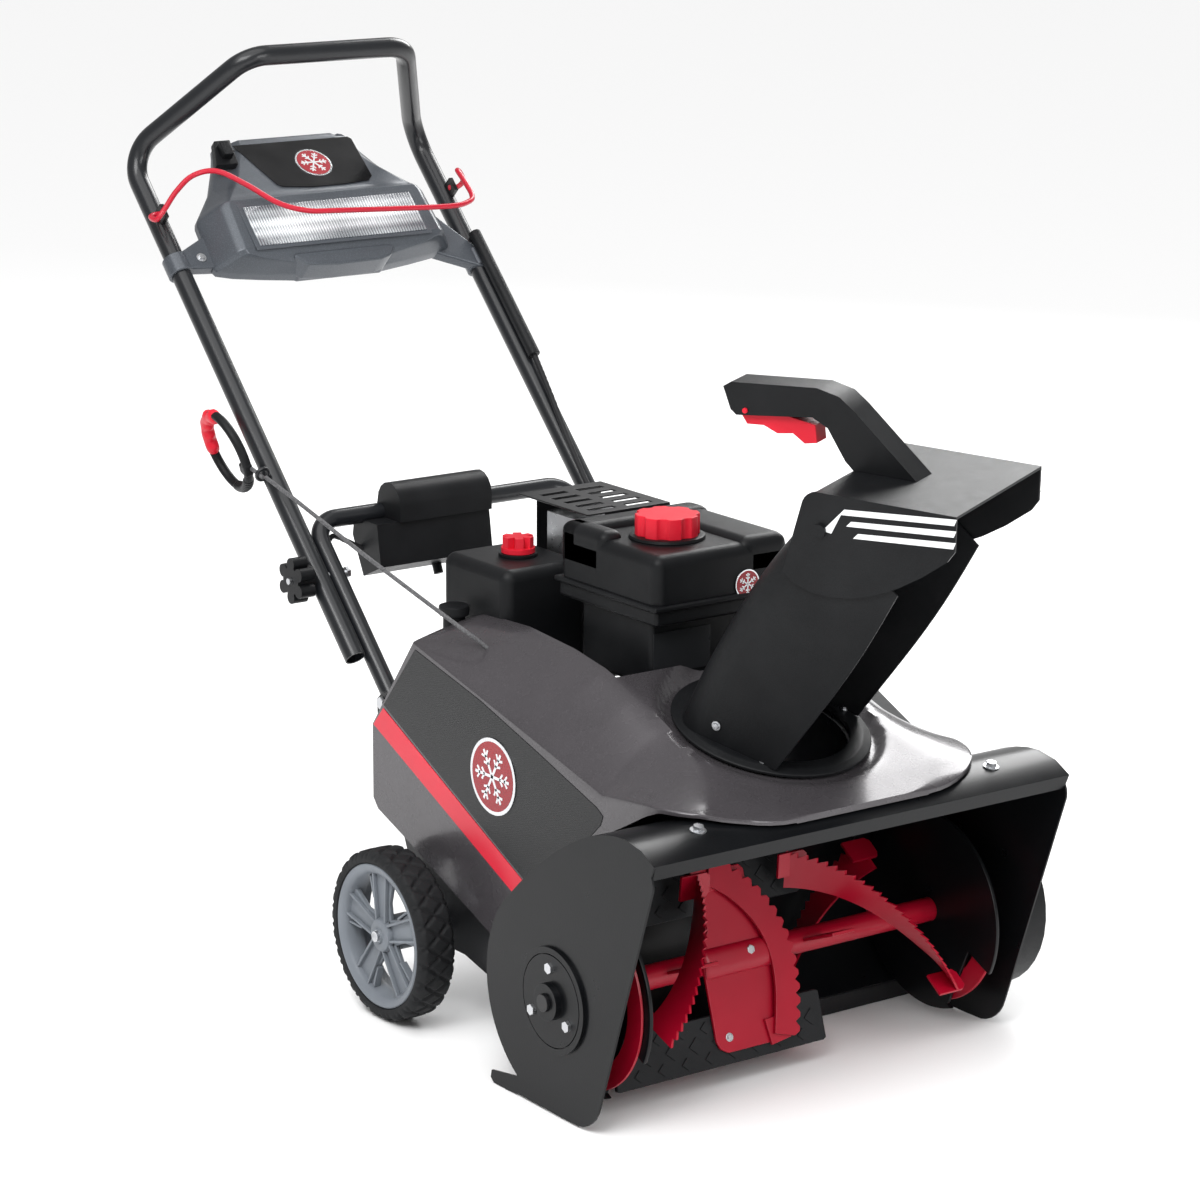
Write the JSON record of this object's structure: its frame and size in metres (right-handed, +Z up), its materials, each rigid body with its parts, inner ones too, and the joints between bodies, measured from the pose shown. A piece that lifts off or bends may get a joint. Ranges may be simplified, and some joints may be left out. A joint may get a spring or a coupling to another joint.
{
  "type": "snow blower",
  "caption": "Single-stage walk-behind snow blower with a steel auger housing, turning discharge chute, petrol engine under a moulded shroud and a folding tube handle.",
  "frame": {"origin": "under the scraper bar on the ground, in the machine's middle plane", "axes": "+Z up, -Y forward towards the auger mouth, +X to the operator's left"},
  "size_m": [0.6384, 1.3588, 1.0722],
  "materials": {
    "housing_paint": "satin",
    "shroud_plastic": "semi gloss metallic",
    "black_plastic": "fine texture",
    "dash_plastic": "semi gloss metallic",
    "red_plastic": "semi gloss",
    "red_paint": "semi gloss",
    "auger_paint": "semi gloss",
    "tube_paint": "semi gloss",
    "zinc": "zinc plated",
    "cast_alloy": "as cast",
    "chassis_paint": "satin",
    "wheel_plastic": "satin silver",
    "tyre_rubber": "moulded rubber",
    "paddle_rubber": "moulded rubber",
    "cord_rubber": "satin",
    "rope_fibre": "braided",
    "lens_plastic": "clear"
  },
  "bodies": {
    "machine": {"auger_housing": "housing_paint", "side_plate_right": "housing_paint", "side_plate_left": "housing_paint", "scraper_bar": "chassis_paint", "bearing_right": "housing_paint", "bearing_left": "housing_paint", "housing_bolts": "zinc", "drive_belt": "cord_rubber", "belt_cover": "black_plastic", "idler_spring": "zinc", "chassis": "chassis_paint", "axle": "zinc", "shroud": "shroud_plastic", "crankcase": "cast_alloy", "recoil_cover": "black_plastic", "muffler": "zinc", "muffler_guard": "chassis_paint", "fuel_tank": "black_plastic", "carburettor_cover": "black_plastic", "starter_rope": "rope_fibre", "starter_box": "black_plastic", "lower_handle": "tube_paint", "foot_bolts": "zinc", "fold_bolts": "zinc", "lower_cable": "cord_rubber"},
    "auger": {"auger_shaft": "auger_paint", "auger_discs": "housing_paint", "auger_flights": "auger_paint", "kicker_plate": "auger_paint", "rubber_paddles": "paddle_rubber", "auger_pulley": "zinc"},
    "crank": {"crankshaft": "zinc", "drive_pulley": "zinc"},
    "idler_arm": {"idler_arm": "zinc"},
    "idler_pulley": {"idler_pulley": "zinc"},
    "wheel_right": {"rim_right": "wheel_plastic", "tyre_right": "tyre_rubber"},
    "wheel_left": {"rim_left": "wheel_plastic", "tyre_left": "tyre_rubber"},
    "recoil_reel": {"recoil_reel": "black_plastic"},
    "fuel_cap": {"fuel_cap": "red_plastic"},
    "oil_cap": {"oil_cap": "black_plastic"},
    "choke_knob": {"choke_knob": "red_plastic"},
    "primer_bulb": {"primer_bulb": "red_plastic"},
    "starter_button": {"starter_button": "black_plastic"},
    "knob_right": {"knob_right": "black_plastic"},
    "knob_left": {"knob_left": "black_plastic"},
    "upper_handle": {"upper_handle": "tube_paint", "dash": "dash_plastic", "light_lens": "lens_plastic", "bail_brackets": "chassis_paint", "cable_sleeve": "black_plastic", "upper_cable": "cord_rubber"},
    "light_switch": {"light_switch": "black_plastic"},
    "bail": {"bail": "red_paint"},
    "starter_grip": {"starter_grip": "black_plastic"},
    "chute": {"chute": "black_plastic"},
    "deflector": {"deflector": "black_plastic", "deflector_handle": "black_plastic"},
    "deflector_trigger": {"deflector_trigger": "red_plastic"}
  },
  "joints": [
    {"name": "auger_spin", "type": "hinge", "parent": "machine", "child": "auger", "pos_m": [0, -0.072, 0.132], "axis": [1, 0, 0], "continuous": true},
    {"name": "crank_spin", "type": "hinge", "parent": "machine", "child": "crank", "pos_m": [0, 0.19, 0.3], "axis": [1, 0, 0], "continuous": true},
    {"name": "idler_swing", "type": "hinge", "parent": "machine", "child": "idler_arm", "pos_m": [0.294, 0.0428, 0.1938], "axis": [1, 0, 0], "range_deg": [0, 11]},
    {"name": "idler_spin", "type": "hinge", "parent": "idler_arm", "child": "idler_pulley", "pos_m": [0.312, 0.1035, 0.2565], "axis": [1, 0, 0], "continuous": true},
    {"name": "wheel_right_spin", "type": "hinge", "parent": "machine", "child": "wheel_right", "pos_m": [-0.265, 0.289, 0.1015], "axis": [1, 0, 0], "continuous": true},
    {"name": "wheel_left_spin", "type": "hinge", "parent": "machine", "child": "wheel_left", "pos_m": [0.265, 0.289, 0.1015], "axis": [1, 0, 0], "continuous": true},
    {"name": "chute_turn", "type": "hinge", "parent": "machine", "child": "chute", "pos_m": [0, -0.077, 0.394], "axis": [0, -0.2656, 0.9641], "range_deg": [-122, 78]},
    {"name": "deflector_tilt", "type": "hinge", "parent": "chute", "child": "deflector", "pos_m": [0.02098, -0.20619, 0.66751], "axis": [0.9272, 0.3612, 0.0995], "range_deg": [0, 38]},
    {"name": "deflector_trigger_pull", "type": "hinge", "parent": "deflector", "child": "deflector_trigger", "pos_m": [-0.03671, -0.08367, 0.76038], "axis": [0.9272, 0.3612, 0.0995], "range_deg": [0, 7], "stiffness_Nm_per_rad": 0.6, "springref_deg": -6.88},
    {"name": "handle_fold", "type": "hinge", "parent": "machine", "child": "upper_handle", "pos_m": [0, 0.526, 0.473], "axis": [-1, 0, 0], "range_deg": [0, 90], "deforming": ["upper_cable", "lower_cable", "starter_rope"]},
    {"name": "knob_right_turn", "type": "hinge", "parent": "machine", "child": "knob_right", "pos_m": [-0.24, 0.526, 0.473], "axis": [-1, 0, 0], "continuous": true},
    {"name": "knob_left_turn", "type": "hinge", "parent": "machine", "child": "knob_left", "pos_m": [0.24, 0.526, 0.473], "axis": [1, 0, 0], "continuous": true},
    {"name": "bail_pull", "type": "hinge", "parent": "upper_handle", "child": "bail", "pos_m": [0, 0.88185, 0.86629], "axis": [-1, 0, 0], "range_deg": [0, 34], "stiffness_Nm_per_rad": 1.2, "springref_deg": -28.65},
    {"name": "light_switch_press", "type": "hinge", "parent": "upper_handle", "child": "light_switch", "pos_m": [-0.109, 0.90932, 0.93309], "axis": [1, 0, 0], "range_deg": [0, 8]},
    {"name": "starter_pull", "type": "slide", "parent": "upper_handle", "child": "starter_grip", "axis": [0, 0.9563, 0.2924], "range_m": [0, 0.33], "stiffness_N_per_m": 30, "springref_m": -0.25},
    {"name": "reel_spin", "type": "hinge", "parent": "machine", "child": "recoil_reel", "pos_m": [-0.129, 0.19, 0.3], "axis": [1, 0, 0], "range_deg": [0, 420]},
    {"name": "fuel_cap_turn", "type": "hinge", "parent": "machine", "child": "fuel_cap", "pos_m": [-0.01, 0.104, 0.58], "axis": [0, 0, 1], "continuous": true},
    {"name": "oil_cap_turn", "type": "hinge", "parent": "machine", "child": "oil_cap", "pos_m": [-0.15, 0.33, 0.4], "axis": [0, 0, 1], "continuous": true},
    {"name": "choke_turn", "type": "hinge", "parent": "machine", "child": "choke_knob", "pos_m": [-0.066, 0.32, 0.524], "axis": [0, 0, 1], "range_deg": [-90, 0]},
    {"name": "primer_press", "type": "slide", "parent": "machine", "child": "primer_bulb", "axis": [0, -1, 0], "range_m": [0, 0.005], "stiffness_N_per_m": 400},
    {"name": "starter_button_press", "type": "slide", "parent": "machine", "child": "starter_button", "axis": [0, 0.4067, 0.9135], "range_m": [0, 0.003], "stiffness_N_per_m": 400}
  ],
  "couplings": [
    {"joint": "crank_spin", "follows": "auger_spin", "ratio": 3.4783},
    {"joint": "idler_swing", "follows": "bail_pull", "ratio": 0.3143},
    {"joint": "reel_spin", "follows": "starter_pull", "rad_per_m": 21.7}
  ]
}
